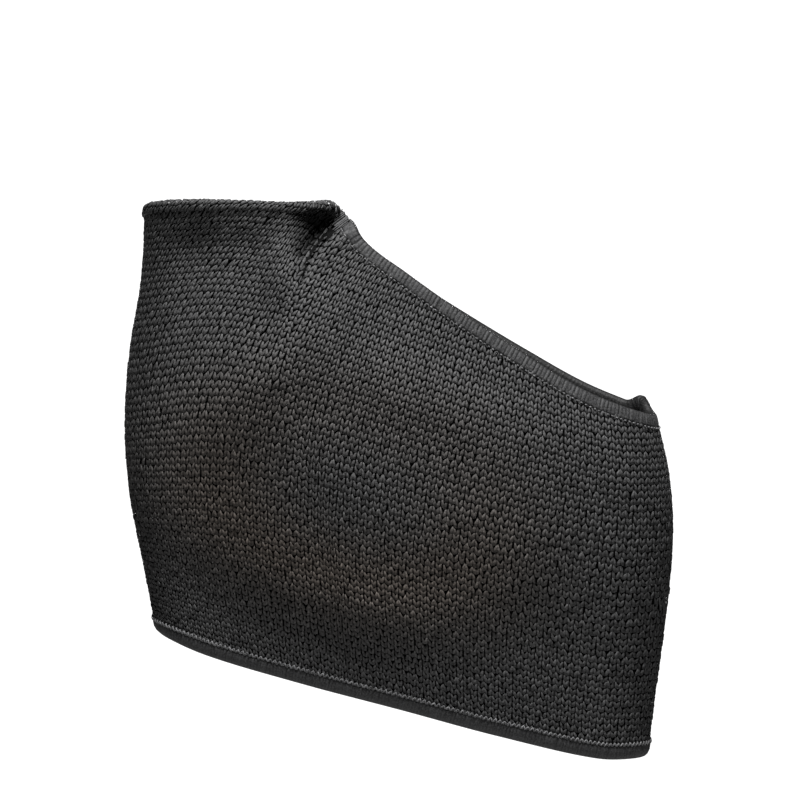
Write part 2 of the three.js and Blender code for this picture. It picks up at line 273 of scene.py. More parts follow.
def front_edge(share, on_sole):
    """Height of the front edge, which lifts a little at the far corner of the instep side."""
    full, gone = INSTEP_LIFT["full"], INSTEP_LIFT["gone"]
    lift = ease(1 - share, 0, full) * (1 - ease(1 - share, full, gone))
    return read(TOE_EDGE, "z", share) + np.where(on_sole, 0, INSTEP_LIFT["rise"] * lift)


def face(theta, t):
    """Points of the sleeve's outer face, in millimetres."""
    share = share_at(theta)
    on_sole = np.sin(theta) >= 0
    x = across(share, t)
    z = lerp(read(REAR_EDGE, "z", share), front_edge(share, on_sole), t)
    roundness = np.abs(np.sin(theta)) ** (2 / np.where(on_sole, FULLNESS["sole"], FULLNESS["instep"]))
    swell = cushion_bulge(x, z) + tension(x, z) + ball(x, z)
    swell = swell * np.minimum(1, SWELL_FADES * roundness)
    sole = roundness * depth("sole", share, t) * creased("sole", share, t) + swell - toe_fold(share, t)
    instep = roundness * depth("instep", share, t) * creased("instep", share, t)
    y = np.where(on_sole, -sole, instep)
    tilt = lerp(TILT["rear"], lerp(TILT["toe_tube"], TILT["little_toe"], share), t)
    return np.stack([x, y, z + y * tilt], axis=-1)


def unit(vectors):
    return vectors / np.linalg.norm(vectors, axis=-1, keepdims=True)


def outward(theta, t):
    around = face(theta + STEP, t) - face(theta - STEP, t)
    along = face(theta, t + STEP) - face(theta, t - STEP)
    return unit(np.cross(around, along))


def off_face(theta, t, off):
    return face(theta, t) + outward(theta, t) * np.asarray(off)[..., None]


ring = np.linspace(0, 2 * np.pi, RING_STEPS + 1)
widest_ring = face(ring, np.full_like(ring, WIDEST_T))
girth = np.linalg.norm(np.diff(widest_ring, axis=0), axis=1).sum()
print("girth of the widest slice, in mm:", round(float(girth), 1))

# %% [markdown]
# The edges differ. The narrow tube ends in a rolled rim that stands a little proud, and the other edges are
# hemmed. Blender's Bevel could round them, but a hem has to lie square to a slanted edge. So there is a
# helper that says how theta and t change for each millimetre that leads square into the cloth.

# %% Rim and edges of the cloth
HEM = 2.7
WELT = {"tall": 1.4, "proud": 0.5, "starts": 0.35}
RIM_DROP = {"toe": 1.1, "tack": 0.8, "from": 0.35}


def rim_drop(share):
    """How far the rolled rim starts below the edge, in millimetres."""
    return lerp(RIM_DROP["toe"], RIM_DROP["tack"], ease(share, RIM_DROP["from"], TACK_AT))


def welt(share, t):
    """How far the cloth stands proud near the rim, in millimetres."""
    from_rim = np.maximum((1 - t) * column_length(share) - rim_drop(share), 0)
    climb = lerp(WELT["starts"], 1, np.minimum(from_rim / WELT["tall"], 1))
    return np.where(share < TACK_AT, WELT["proud"] * np.sin(np.pi * climb), 0.0)


def square_inward(thetas, at_t):
    """Change of theta and t for one millimetre into the cloth, square to the edge."""
    t = np.full_like(thetas, at_t)
    inside = -1 if at_t > 0.5 else 1
    by_theta = (face(thetas + STEP, t) - face(thetas - STEP, t)) / (2 * STEP)
    by_t = (face(thetas, t + inside * STEP) - face(thetas, t)) / (inside * STEP)
    edge = unit(by_theta)
    inward = inside * by_t
    inward = unit(inward - edge * (inward * edge).sum(-1, keepdims=True))
    aa, bb, ab = (by_theta**2).sum(-1), (by_t**2).sum(-1), (by_theta * by_t).sum(-1)
    pa, pb = (inward * by_theta).sum(-1), (inward * by_t).sum(-1)
    under = aa * bb - ab**2
    return (pa * bb - pb * ab) / under, (pb * aa - pa * ab) / under


print("hem and rim, in mm:", HEM, WELT["tall"])

# %% [markdown]
# The knit has a ground that shows only in the gaps between the stitches; its near-black colour is painted
# shade in those gaps. It is a closed shell, so the sleeve keeps a true thickness and its inside can be seen
# through the openings. A plane with a Solidify modifier would do for a plain tube, but here the sole side
# and the instep side have to join at the tack, so the outer and the inner face are built as grids, and a
# small web of faces joins them there.


# %% Meshes from points and grids
def new_piece(name, points, faces, smooth=True):
    mesh = bpy.data.meshes.new(name)
    mesh.from_pydata((np.asarray(points) * MM).tolist(), [], [list(map(int, f)) for f in faces])
    mesh.update()
    if smooth:
        mesh.shade_smooth()
    piece = bpy.data.objects.new(name, mesh)
    bpy.context.scene.collection.objects.link(piece)
    return piece


def grid_faces(rows, closed):
    """Quads between the points of a grid of indexes, with the columns joined in a ring when closed."""
    here = rows if closed else rows[:, :-1]
    there = np.roll(rows, -1, axis=1) if closed else rows[:, 1:]
    quads = np.stack([here[:-1], there[:-1], there[1:], here[1:]], axis=-1)
    return quads.reshape(-1, 4)


print("quads in a closed strip of 4 columns:", len(grid_faces(np.arange(8).reshape(2, 4), True)))

# %% Columns and rows of the ground
GROUND = {"toe_columns": 44, "opening_columns": 60, "rows": 90, "crowd": 1.3, "sunk": 0.45, "web": 4.0}
GROUND_ENDS = {"rear": 0.5, "hem": 0.4, "rim": 0.55, "rim_from": 0.28, "rim_to": 0.36}


def ground_columns():
    """Angles of the ground's columns, closer together towards the tack."""
    before = theta_at(np.array(TACK_AT - TACK["strip"]))
    after = theta_at(np.array(TACK_AT + TACK["strip"]))
    to_tack = before * np.sin(np.pi / 2 * np.linspace(0, 1, GROUND["toe_columns"] + 1))
    from_tack = np.sin(np.pi / 2 * np.linspace(1, 0, GROUND["opening_columns"] + 1))
    sole = np.concatenate([to_tack, lerp(np.pi, after, from_tack)])
    return np.concatenate([sole, 2 * np.pi - sole[-2:0:-1]])


def ground_rows(thetas):
    """t of the ground's points, from inside the rear hem to inside the rim or the slanted hem."""
    shares = share_at(thetas)
    bottom = GROUND_ENDS["rear"] * HEM / column_length(shares)
    under_hem = 1 + GROUND_ENDS["hem"] * HEM * square_inward(thetas, 1.0)[1]
    lower = lerp(GROUND_ENDS["rim"], 1, ease(shares, GROUND_ENDS["rim_from"], GROUND_ENDS["rim_to"]))
    under_rim = 1 - lower * rim_drop(shares) / column_length(shares)
    top = np.where(shares < TACK_AT, under_rim, under_hem)
    rows = 1 - (1 - np.linspace(0, 1, GROUND["rows"] + 1)) ** GROUND["crowd"]
    return lerp(bottom[None, :], top[None, :], rows[:, None])


print("columns and rows of the ground:", len(ground_columns()), GROUND["rows"])

# %% The ground of the knit
WALL = 1.4


def ground_shell():
    thetas = ground_columns()
    t = ground_rows(thetas)
    theta = np.broadcast_to(thetas, t.shape)
    outer = off_face(theta, t, welt(share_at(theta), np.minimum(t, 1)) - GROUND["sunk"])
    inner = off_face(theta, t, np.full(t.shape, -WALL))
    outer_ids = np.arange(t.size).reshape(t.shape)
    inner_ids = outer_ids + t.size
    beside_toe, beside_opening = GROUND["toe_columns"], GROUND["toe_columns"] + 1
    toe_top, opening_top = len(thetas) - beside_toe, len(thetas) - beside_opening
    below = (1 - t[:, beside_toe]) * TACK_LENGTH
    web_row = int(np.argmax(below < GROUND["web"]))
    web_rows = range(web_row, GROUND["rows"])
    faces = grid_faces(outer_ids, True).tolist()
    for index, quad in enumerate(grid_faces(inner_ids, True)[:, ::-1].tolist()):
        row, column = divmod(index, len(thetas))
        if row not in web_rows or column not in (beside_toe, opening_top):
            faces.append(quad)
    faces += grid_faces(np.stack([inner_ids[0], outer_ids[0]]), True).tolist()
    faces += grid_faces(np.stack([outer_ids[-1], inner_ids[-1]]), True).tolist()
    for row in web_rows:
        low, high = inner_ids[row], inner_ids[row + 1]
        faces.append([low[toe_top], low[beside_toe], high[beside_toe], high[toe_top]])
        faces.append([low[beside_opening], low[opening_top], high[opening_top], high[beside_opening]])
    low, high = inner_ids[web_row], inner_ids[-1]
    faces.append([low[beside_toe], low[toe_top], low[opening_top], low[beside_opening]])
    faces.append([high[beside_toe], high[beside_opening], high[opening_top], high[toe_top]])
    return np.concatenate([outer.reshape(-1, 3), inner.reshape(-1, 3)]), faces


ground = new_piece("knit_ground", *ground_shell())
print("ground faces:", len(ground.data.polygons))

# %% [markdown]
# The cloth is jersey: each stitch is a V, and the stitches stand in columns (wales) and lie in rows
# (courses). A picture of knit or a bump could stand in for it, but the eye sees the dark holes between
# the stitches here, and holes are shape. So each stitch gets a place of its own on the surface, by a map
# from wale and course to theta and t.
#
# The map is what makes the cloth look worn: courses open where the sleeve is stretched most and crowd near
# both edges, and the wales swing towards the tack, most of all in the narrow tube. Each of these depends
# on where the stitch ends up, so the place is found in rounds that settle.

# %% Wales round the widest slice
WALE_PITCH = {
    "at": [0.0, 0.1, 0.3, 0.5, 0.65, 0.8, 0.92, 1.0],
    "sole": [1.38, 1.4, 1.43, 1.42, 1.47, 1.6, 1.7, 1.7],
    "instep": [1.38, 1.4, 1.45, 1.5, 1.52, 1.6, 1.7, 1.7],
}
long_ring = np.linspace(-2 * np.pi, 4 * np.pi, 3 * RING_STEPS + 1)
ring_points = face(long_ring, np.full_like(long_ring, WIDEST_T))
ring_steps = np.linalg.norm(np.diff(ring_points, axis=0), axis=1)
ring_pitch = np.where(
    np.sin(long_ring) >= 0,
    read(WALE_PITCH, "sole", share_at(long_ring)),
    read(WALE_PITCH, "instep", share_at(long_ring)),
)
ring_run = np.concatenate([[0], np.cumsum(ring_steps)])
ring_run = ring_run - ring_run[RING_STEPS]
ring_wale = np.concatenate([[0], np.cumsum(ring_steps / ring_pitch[1:])])
wales_round = ring_wale[2 * RING_STEPS] - ring_wale[RING_STEPS]
WALES = 2 * round(wales_round / 2)
ring_wale = (ring_wale - ring_wale[RING_STEPS]) * WALES / wales_round
print("wales:", WALES)

# %% Map from stitches to the surface
COURSES = 73
CROWDING = {"big": 0.2, "little": 0.05, "widest": 0.6}
SLANT = {
    "at": [0.0, 0.13, 0.25, 0.4, 0.55, 0.7, 0.85, 1.0],
    "bend": [3.0, 0.8, 0.0, 0.0, 0.0, 0.0, 0.0, 0.0],
    "shift": [0.0, 0.0, 0.0, 0.6, 2.0, 3.4, 4.2, 4.2],
}
SWING = {
    "at": [0.0, 0.2, 0.35, 0.55, 0.85, 1.0],
    "sole": [15.0, 21.0, 22.0, 11.0, 5.0, 3.0],
    "instep": [15.0, 9.0, 5.0, 4.0, 3.0, 3.0],
}
SWING_POWER = 4
PLACING = {"rounds": 40, "step": 0.6}


def place_stitches(wale, course):
    """theta, t and millimetres past the rim for places counted in wales and courses."""
    run = np.interp(wale, ring_wale, ring_run)
    theta = np.interp(run, ring_run, long_ring)
    raw = course / COURSES
    for _ in range(PLACING["rounds"]):
        share = share_at(theta)
        on_sole = np.sin(theta) >= 0
        shorter = np.where(share < TACK_AT, 1, column_length(share) / TACK_LENGTH)
        count = COURSES * shorter
        crowd = lerp(CROWDING["big"], CROWDING["little"], share) / (2 * np.pi)
        t = np.clip(raw, 0, 1)
        turn = 2 * np.pi * (t - CROWDING["widest"] + 0.5)
        slant = read(SLANT, "bend", share) * 4 * t * (1 - t) + read(SLANT, "shift", share)
        raw = (course - slant) / count - crowd * (np.sin(turn) - np.sin(turn - 2 * np.pi * t))
        t = np.clip(raw, 0, 1)
        swing = np.where(on_sole, read(SWING, "sole", share), read(SWING, "instep", share))
        swing = swing * t**SWING_POWER
        drift = lean(share, (1 - t) * TACK_LENGTH) - lean(share, (1 - WIDEST_T) * TACK_LENGTH)
        drift = np.where(on_sole, 1, -1) * drift
        theta = lerp(theta, np.interp(run + swing + drift, ring_run, long_ring), PLACING["step"])
    share = share_at(theta)
    rim = 1 - np.where(share < TACK_AT, rim_drop(share) / column_length(share), 0)
    past = np.maximum(raw - rim, 0) * column_length(share)
    return theta, np.clip(raw, 0, rim), past


first_theta, first_t = place_stitches(np.array([0.5]), np.array([0.5]))[:2]
print("courses:", COURSES)
print("theta and t of the first stitch:", round(float(first_theta[0]), 3), round(float(first_t[0]), 3))

# %% [markdown]
# One leg of a V is a short bow of yarn, thick in its middle and thin where it dives under the next stitch.
# A curve with a bevel could draw it, but twenty thousand curves are slow. So one leg is a small closed
# leaf: three rings of four points and a point at each end, drawn once in stitch units. Past the rim the
# leaves roll over a small radius, as the edge of jersey does by itself.

# %% One leaf of yarn
LEG_OUT = np.array([0.1, 0.18, 0.235, 0.305, 0.34])
LEG_UP = np.array([-0.66, -0.5, -0.08, 0.3, 0.74])
LEG_RISE = np.array([-0.2, 0.02, 0.04, 0.02, -0.3])
LEG_WIDE = np.array([0.0, 0.245, 0.245, 0.178, 0.0])
LEG_SKEW = np.array([0.0, 0.3, 0.0, 0.6, 0.0])
RING_SIDE = np.array([-1.0, -0.6, 0.6, 1.0])
RING_RISE = np.array([-0.14, 0.0, 0.0, -0.1])


def leaf():
    """Offsets of one leg's points in wales, courses and millimetres, and its faces."""
    out, up, rise = [LEG_OUT[0]], [LEG_UP[0]], [LEG_RISE[0]]
    for k in range(1, len(LEG_OUT) - 1):
        out += (LEG_OUT[k] + RING_SIDE * LEG_WIDE[k]).tolist()
        up += (LEG_UP[k] + LEG_SKEW[k] * RING_SIDE * LEG_WIDE[k]).tolist()
        rise += (LEG_RISE[k] + RING_RISE).tolist()
    out.append(LEG_OUT[-1])
    up.append(LEG_UP[-1])
    rise.append(LEG_RISE[-1])
    last = len(out) - 1
    rings = np.arange(1, last).reshape(-1, len(RING_SIDE))
    faces = []
    for a, b in zip(rings[0], np.roll(rings[0], -1)):
        faces.append([0, b, a])
    for quad in grid_faces(rings, True):
        faces.append([quad[0], quad[1], quad[2]])
        faces.append([quad[0], quad[2], quad[3]])
    for a, b in zip(rings[-1], np.roll(rings[-1], -1)):
        faces.append([last, a, b])
    return np.array(out), np.array(up), np.array(rise), np.array(faces)


print("points and triangles in a leaf:", len(leaf()[0]), len(leaf()[3]))

# %% Leaves on the cloth and over the rim
ROLL = 0.75


def lay_on_face(wale, course, rise):
    """Points for places in wales and courses, rolled over the rim where they go past it."""
    theta, t, past = place_stitches(wale, course)
    base = face(theta, t)
    normal = outward(theta, t)
    along = unit(face(theta, t) - face(theta, t - STEP))
    turn = np.minimum(past / ROLL, np.pi)
    lifted = welt(share_at(theta), t) + rise
    bent = normal * np.cos(turn)[..., None] + along * np.sin(turn)[..., None]
    return base + normal * -ROLL + bent * (ROLL + lifted)[..., None]


over_rim = lay_on_face(np.array([0.5]), np.array([COURSES + 0.5]), np.zeros(1))[0]
print("a place just over the rim, in mm:", over_rim.round(1).tolist())

# %% [markdown]
# Not every place in the lattice holds a stitch. The hems cover the first and the last rows, and the tack
# covers a few stitches of its own. They could be left in and hidden, but covered leaves would poke
# through the bands, so they are left out before anything is built.

# %% Which stitches are there
ROWS_OVER_RIM = 3
HEM_COVERS = {"rear": 0.6, "front": 0.55, "past": 0.01}
TACK_COVERS = {"before": 0.005, "after": 0.014, "below": 2.0}
wales, courses = np.meshgrid(np.arange(WALES) + 0.5, np.arange(COURSES + ROWS_OVER_RIM) + 0.5)
theta, t, past = place_stitches(wales, courses)
share = share_at(theta)
in_tube = share < TACK_AT
past_rear_hem = t > HEM_COVERS["rear"] * HEM / column_length(share)
before_front_hem = in_tube | (t < 1 + HEM_COVERS["front"] * HEM * square_inward(theta, 1.0)[1])
not_past = in_tube | (past < HEM_COVERS["past"])
beside_tack = (share > TACK_AT - TACK_COVERS["before"]) & (share < TACK_AT + TACK_COVERS["after"])
under_tack = beside_tack & ((1 - t) * column_length(share) < TACK_COVERS["below"])
kept = past_rear_hem & before_front_hem & not_past & ~under_tack
stitch_wale, stitch_course = wales[kept], courses[kept]
stitch_share, stitch_t = share[kept], t[kept]
stitch_on_sole = np.sin(np.mod(theta[kept], 2 * np.pi)) >= 0
print("stitches:", kept.sum())

# %% [markdown]
# Black yarn isn't one black. Painted shade darkens the yarn towards the two sides, where the sleeve turns
# away from the lamps, and beside the crease, darkest at its lip. Over the cushion the stretched knit lets a
# little warm colour through, most of all in a ring near the cushion's rear edge. A noise texture can't know
# these places, so the shades are worked out per stitch and stored in a colour attribute that the yarn's
# material reads.

# %% Shades of the yarn
YARN = np.array([0.048, 0.048, 0.0485])
WARM = np.array([0.0558, 0.0472, 0.0408])
# Painted shade: the yarn is darker towards both sides, where the sleeve turns away from the lamps.
SIDE_SHADE = {"tone": 0.62, "ends": 0.12}
# Painted shade: the yarn is darker beside the crease, darkest at its lip.
CREASE_SHADE = {"tone": 0.2, "toe": 15.0, "lower": 4.5, "starts": 1.0, "full": 4.5, "ends": 8.0, "gone": 10.0}
GLOW = {"ring": 0.62, "wide": 0.33, "least": 0.3, "toward": (-0.35, -0.94), "from": -20.0, "to": 15.0}


def paint(piece, colour):
    layer = piece.data.color_attributes.new("yarn", "FLOAT_COLOR", "POINT")
    layer.data.foreach_set("color", np.concatenate([colour, np.ones((len(colour), 1))], 1).ravel())


def side_shade(share):
    """Painted shade on the yarn at the two sides of the sleeve, where the cloth turns away from the lamps.
    """
    return lerp(SIDE_SHADE["tone"], 1, ease(np.minimum(share, 1 - share), 0, SIDE_SHADE["ends"]))


def crease_shade(share, t):
    """Painted shade on the yarn beside the crease, on the narrow tube's hand, darkest at its lip."""
    offset = from_crease(share, t)
    below = (1 - t) * TACK_LENGTH
    reach = lerp(CREASE_SHADE["toe"], CREASE_SHADE["lower"], np.clip(below / CREASE_SHADE["ends"], 0, 1))
    near = np.where(offset < 0, np.clip(1 + offset / reach, 0, 1), 0)
    near = near * ease(below, CREASE_SHADE["starts"], CREASE_SHADE["full"])
    near = near * (1 - ease(below, CREASE_SHADE["ends"], CREASE_SHADE["gone"]))
    return lerp(1, CREASE_SHADE["tone"], near)


def warm_glow(points):
    """Share of the cushion's colour that comes through the knit, from 0 to 1."""
    x, y, z = points.T
    toward = GLOW["toward"][0] * (x - PAD["x"]) + GLOW["toward"][1] * (z - PAD["z"])
    glow = lerp(GLOW["least"], 1, ease(toward, GLOW["from"], GLOW["to"]))
    glow = glow * np.exp(-(((pad_share(x, z) - GLOW["ring"]) / GLOW["wide"]) ** 2))
    return np.where(y < 0, glow, 0)


darkest = crease_shade(stitch_share, stitch_t).min()
print("darkest tone beside the crease:", round(float(darkest), 2))

# %% [markdown]
# Now the leaves are laid out. Particles or geometry nodes could scatter copies of one leaf, but here each
# leg bends with the cloth under it, so its points go through the map one by one. No two stitches are quite
# alike: seeded random numbers move, lift and shade each leg. One mesh of them all would be too heavy to
# handle, so there are two pieces for the sole side and two for the instep side.

# %% Stitches as leaves of yarn
SEED = 7
UNEVEN = {"shift": 0.055, "leg_rise": 0.04, "point_rise": 0.03, "leg_shade": 0.1, "point_shade": 0.16}
SHADES = (0.4, 1.9)
LONGEST_LEG = 3.0
SPLIT_AT = 0.44
rng = np.random.default_rng(SEED)


def stitch_piece(name, chosen):
    out, up, rise, faces = leaf()
    wale, course = stitch_wale[chosen], stitch_course[chosen]
    # Painted shade: darker towards the two sides and beside the crease.
    tone = side_shade(stitch_share[chosen]) * crease_shade(stitch_share[chosen], stitch_t[chosen])
    count, per_leg = len(wale), len(out)
    points, shades, triangles = [], [], []
    for hand in (-1, 1):
        shift = rng.normal(0, UNEVEN["shift"], (count, 2))
        swell = rng.normal(0, UNEVEN["leg_rise"], (count, 1))
        swell = swell + rng.normal(0, UNEVEN["point_rise"], (count, per_leg))
        leg_wale = wale[:, None] + hand * out[None, :] + shift[:, :1]
        leg_course = course[:, None] + up[None, :] + shift[:, 1:]
        legs = lay_on_face(leg_wale, leg_course, rise[None, :] + swell)
        reach = np.linalg.norm(legs - legs[:, :1], axis=-1).max(axis=1)
        shrink = np.minimum(LONGEST_LEG / reach, 1)[:, None, None]
        points.append(lerp(legs[:, :1], legs, shrink).reshape(-1, 3))
        shade = rng.normal(1.0, UNEVEN["leg_shade"], (count, 1))
        shade = shade + rng.normal(0, UNEVEN["point_shade"], (count, per_leg))
        shades.append((np.clip(shade, *SHADES) * tone[:, None]).ravel())
        turned = faces if hand > 0 else faces[:, ::-1]
        first = per_leg * (np.arange(count) + (count if hand > 0 else 0))
        triangles.append((turned[None] + first[:, None, None]).reshape(-1, 3))
    points, triangles = np.concatenate(points), np.concatenate(triangles)
    piece = new_piece(name, points, triangles)
    colour = lerp(YARN, WARM, warm_glow(points)[:, None])
    paint(piece, colour * np.concatenate(shades)[:, None])
    print(name, "stitches:", count, "triangles:", len(triangles))
    return piece


by_tube = stitch_share < SPLIT_AT
sole_big = stitch_piece("stitches_sole_big_toe", stitch_on_sole & by_tube)
sole_little = stitch_piece("stitches_sole_little_toe", stitch_on_sole & ~by_tube)
instep_big = stitch_piece("stitches_instep_big_toe", ~stitch_on_sole & by_tube)
instep_little = stitch_piece("stitches_instep_little_toe", ~stitch_on_sole & ~by_tube)

# %% [markdown]
# Inside the sleeve the same jersey shows its other face: each stitch is one small bump that lies across. It
# could be a leaf like those outside, but it is seen only through the openings, so a low lens of eight
# triangles is enough.

# %% Purl side
PURL = {"wide": 0.46, "tall": 0.36, "up": 0.5, "rise": 0.2, "sunk": 0.02}
PURL_SHADE = {"middle": 0.8, "spread": 0.15, "limits": (0.4, 1.2)}
LENS_FACES = [[0, 1, 4], [1, 2, 4], [2, 3, 4], [3, 0, 4], [1, 0, 5], [2, 1, 5], [3, 2, 5], [0, 3, 5]]


def purl_piece(name):
    count = len(stitch_wale)
    side_wale = np.array([0, PURL["wide"], 0, -PURL["wide"], 0, 0])
    side_course = np.array([PURL["tall"], 0, -PURL["tall"], 0, 0, 0]) + PURL["up"]
    rise = np.array([0, 0, 0, 0, PURL["rise"], -PURL["rise"]]) + PURL["sunk"]
    per_lens = len(rise)
    theta, t = place_stitches(stitch_wale[:, None] + side_wale, stitch_course[:, None] + side_course)[:2]
    points = off_face(theta, t, np.broadcast_to(-WALL - rise, theta.shape))
    faces = np.array(LENS_FACES)[None] + per_lens * np.arange(count)[:, None, None]
    piece = new_piece(name, points.reshape(-1, 3), faces.reshape(-1, 3), smooth=False)
    shade = rng.normal(PURL_SHADE["middle"], PURL_SHADE["spread"], count)
    shade = np.clip(shade, *PURL_SHADE["limits"]).repeat(per_lens)
    paint(piece, YARN * shade[:, None])
    print(name, "bumps:", count, "triangles:", len(LENS_FACES) * count)
    return piece


purl = purl_piece("purl_loops")

# %% [markdown]
# Both open edges are folded and overlocked: thread wraps the edge in fine ribs that lie square to it.
# Modelled one by one they would be hundreds of small tubes, so each hem is one band, swept along its
# edge. For each rib its profile stays full for a while and then dips into a narrow groove. The grooves,
# the free edge and the band's inner edge are painted darker as shade, because little light reaches in
# between the threads and round the edges.

# %% Along the edges
EDGE_SAMPLES = 4000
HEM_STARTS = 0.004


def along_edge(first, last, at_t, steps):
    """Angles spaced evenly along an edge, and the edge's length."""
    close = np.linspace(first, last, EDGE_SAMPLES)
    points = face(close, np.full_like(close, at_t))
    run = np.concatenate([[0], np.cumsum(np.linalg.norm(np.diff(points, axis=0), axis=1))])
    return np.interp(np.linspace(0, run[-1], steps), run, close), run[-1]


def on_edge(thetas, at_t, inward, off):
    """Points at distances into the cloth from an edge, raised off the surface."""
    by_theta, by_t = square_inward(thetas, at_t)
    theta = thetas[None, :] + inward * by_theta[None, :]
    t = at_t + inward * by_t[None, :]
    return off_face(theta, t, np.broadcast_to(off, theta.shape))


hem_first = float(theta_at(np.array(TACK_AT + HEM_STARTS)))
hem_last = 2 * np.pi - hem_first
slanted_length = along_edge(hem_first, hem_last, 1.0, 2)[1]
rear_length = along_edge(0.0, 2 * np.pi, 0.0, 2)[1]
print("slanted and rear edge, in mm:", round(float(slanted_length), 1), round(float(rear_length), 1))

# %% Overlocked hems
# The tone rows are painted shade: darker at the band's two edges and under it, where little light reaches.
HEM_PROFILE = {
    "in": [1.0, 0.98, 0.8, 0.5, 0.22, 0.06, 0.0, 0.05, 0.2, 0.5, 0.85, 1.0],
    "rib": [0.2, 0.5, 1.0, 1.0, 1.0, 0.6, 0.3, 0.4, 0.6, 0.6, 0.5, 0.2],
    "toe_off": [-0.4, 0.02, 0.12, 0.15, 0.12, -0.05, -0.7, -1.25, -1.6, -1.75, -1.75, -1.4],
    "toe_tone": [0.3, 0.9, 1.0, 1.0, 0.95, 0.3, 0.1, 0.12, 0.16, 0.3, 0.5, 0.4],
    "rear_off": [-0.4, 0.06, 0.22, 0.2, -0.06, -0.42, -0.8, -1.25, -1.6, -1.75, -1.75, -1.4],
    "rear_tone": [0.3, 1.0, 1.15, 1.05, 0.8, 0.3, 0.12, 0.3, 0.6, 0.7, 0.6, 0.4],
}
RIB_SHAPE = np.array([0.0, 0.0, 0.0, -0.4, -1.0, -0.4])
RIB_UNEVEN = {"depth": (0.3, 1.2), "swell": 0.03, "shade": 0.12, "shades": (0.6, 1.4), "tones": (0.1, 1.5)}
TOE_RIBS = {"kind": "toe", "pitch": 0.78, "deep": 0.15, "dark": 0.8}
REAR_RIBS = {"kind": "rear", "pitch": 0.62, "deep": 0.08, "dark": 0.35}
TUCK = {"deep": 0.8, "long": 2.5, "sink": 0.5}
THREAD = np.array([0.047, 0.047, 0.048])


def hem_band(name, first, last, at_t, ribs, closed):
    length = along_edge(first, last, at_t, 2)[1]
    count = round(length / ribs["pitch"])
    steps = len(RIB_SHAPE)
    thetas = along_edge(first, last, at_t, steps * count + 1)[0]
    if closed:
        thetas = thetas[:-1]
    wave = np.tile(RIB_SHAPE, count + 1)[: len(thetas)]
    wave = wave * rng.uniform(*RIB_UNEVEN["depth"], count + 1).repeat(steps)[: len(thetas)]
    swell = rng.normal(0, RIB_UNEVEN["swell"], count + 1).repeat(steps)[: len(thetas)]
    raised = np.array(HEM_PROFILE["rib"])[:, None] * (ribs["deep"] * wave + swell)[None, :]
    off = np.array(HEM_PROFILE[ribs["kind"] + "_off"])[:, None] + raised
    from_end = np.linspace(0, length, len(thetas))
    from_end = np.minimum(from_end, length - from_end)
    tuck = 0 if closed else TUCK["deep"] * (1 - ease(from_end, 0, TUCK["long"]))
    inward = HEM * np.array(HEM_PROFILE["in"])[:, None] + np.zeros(len(thetas))[None, :] + tuck
    points = on_edge(thetas, at_t, inward, off - TUCK["sink"] * tuck)
    ids = np.arange(off.size).reshape(off.shape)
    faces = grid_faces(np.concatenate([ids, ids[:1]]), closed)
    if at_t < 0.5:
        faces = faces[:, ::-1]
    faces = faces.tolist()
    if not closed:
        faces.append(ids[:, 0].tolist())
        faces.append(ids[::-1, -1].tolist())
    piece = new_piece(name, points.reshape(-1, 3), faces)
    # Painted shade: the grooves between the ribs are darker.
    groove_shade = (1 + ribs["dark"] * wave)[None, :]
    tone = np.array(HEM_PROFILE[ribs["kind"] + "_tone"])[:, None] * groove_shade
    tone = tone * np.clip(rng.normal(1, RIB_UNEVEN["shade"], tone.shape), *RIB_UNEVEN["shades"])
    paint(piece, THREAD * np.clip(tone, *RIB_UNEVEN["tones"]).reshape(-1, 1))
    print(name, "ribs:", count, "faces:", len(faces))
    return piece


toe_hem = hem_band("toe_opening_overlock", hem_first, hem_last, 1.0, TOE_RIBS, False)
rear_hem = hem_band("rear_overlock", 0.0, 2 * np.pi, 0.0, REAR_RIBS, True)

# %% [markdown]
# A line of stitching holds each hem down. At the slanted opening it is a topstitch, short straight stitches
# with a hole between them; at the rear it is a zigzag over the hem's edge. Curves with a bevel could draw
# them, but each stitch is short and nearly straight, so a small closed spindle is enough.

# %% One spindle of thread
SPINDLE_ALONG = np.array([-1.0, -0.7, 0.0, 0.7, 1.0])
SPINDLE_THICK = np.array([0.0, 0.8, 1.0, 0.8, 0.0])
SPINDLE_SINK = np.array([-0.25, -0.06, 0.0, -0.06, -0.25])
SPINDLE_SIDES = 4


def spindle_faces(per_stitch):
    tip = per_stitch - 1
    rings = np.arange(1, tip).reshape(-1, SPINDLE_SIDES)
    faces = [[0, b, a] for a, b in zip(rings[0], np.roll(rings[0], -1))]
    faces += [quad.tolist() for quad in grid_faces(rings, True)]
    faces += [[tip, a, b] for a, b in zip(rings[-1], np.roll(rings[-1], -1))]
    return faces


rings_in_spindle = int((SPINDLE_THICK > 0).sum())
print("faces in a spindle:", len(spindle_faces(rings_in_spindle * SPINDLE_SIDES + 2)))

# %% Lines of stitching
TOPSTITCH = {"pitch": 0.9, "long": 0.56, "turn": 0.0, "thick": 0.16, "in": 1.04, "off": 0.18}
ZIGZAG = {"pitch": 0.45, "long": 1.0, "turn": 55.0, "thick": 0.15, "in": 1.02, "off": 0.3}
SEWN = {"wander": 0.08, "length": (0.85, 1.12), "shade": 2.4, "spread": 0.5, "shades": (1.2, 3.6)}
LINE_SAMPLES = 2001


def spaced(first, last, at_t):
    """Angles along an edge and the millimetres run to each."""
    thetas, length = along_edge(first, last, at_t, LINE_SAMPLES)
    return thetas, np.linspace(0, length, LINE_SAMPLES)


